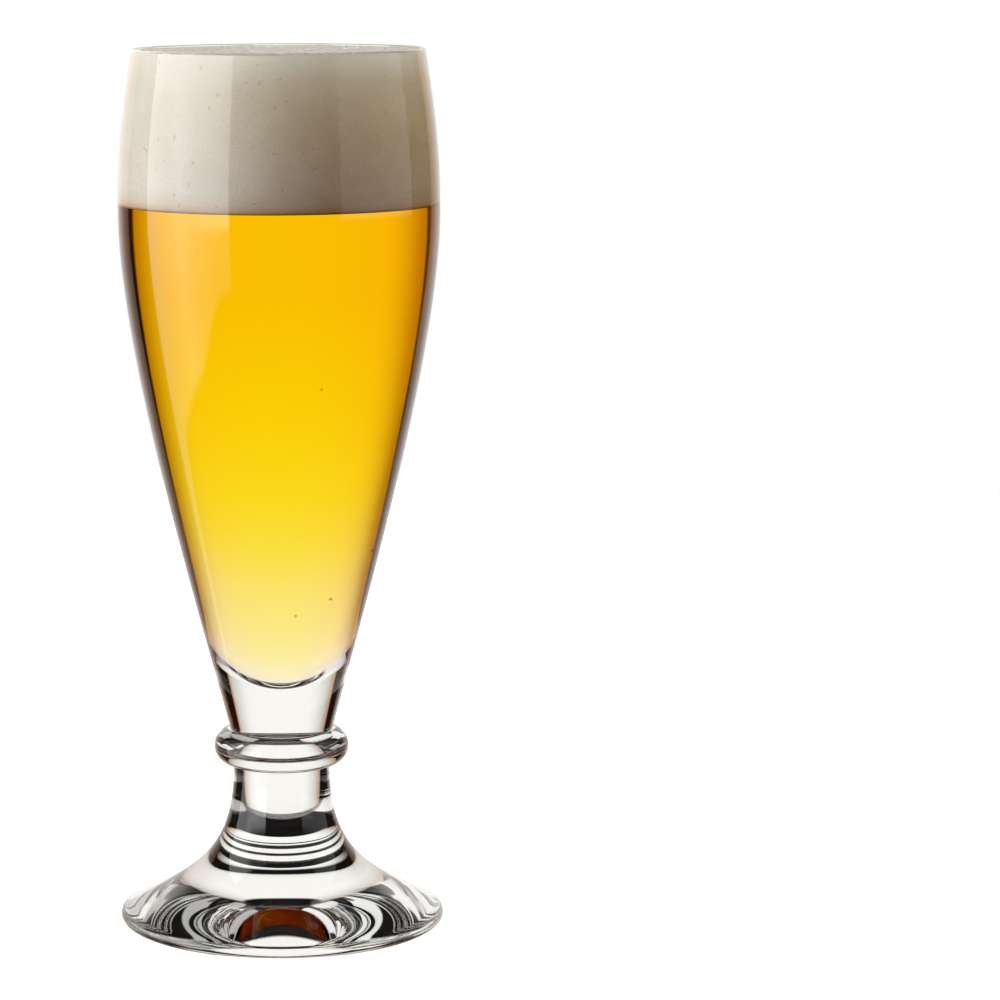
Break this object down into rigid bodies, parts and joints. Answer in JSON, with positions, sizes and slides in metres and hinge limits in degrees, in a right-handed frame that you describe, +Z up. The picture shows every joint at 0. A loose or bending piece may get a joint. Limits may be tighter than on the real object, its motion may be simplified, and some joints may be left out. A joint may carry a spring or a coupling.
{
  "type": "pilsner glass",
  "caption": "Tall tapering beer glass with a thick base, a rounded collar ring on a short solid stem and a flared, hollowed foot.",
  "frame": {"origin": "on the glass's axis, on the table that it stands on", "axes": "+Z up along the axis of the glass, towards the rim; the glass is round, so X and Y are any two level directions"},
  "size_m": [0.0764, 0.0764, 0.205],
  "materials": {
    "clear_glass": "clear, polished"
  },
  "bodies": {
    "root": {"foot": "clear_glass", "lower_stem": "clear_glass", "collar_ring": "clear_glass", "upper_stem": "clear_glass", "bowl": "clear_glass"}
  },
  "joints": []
}
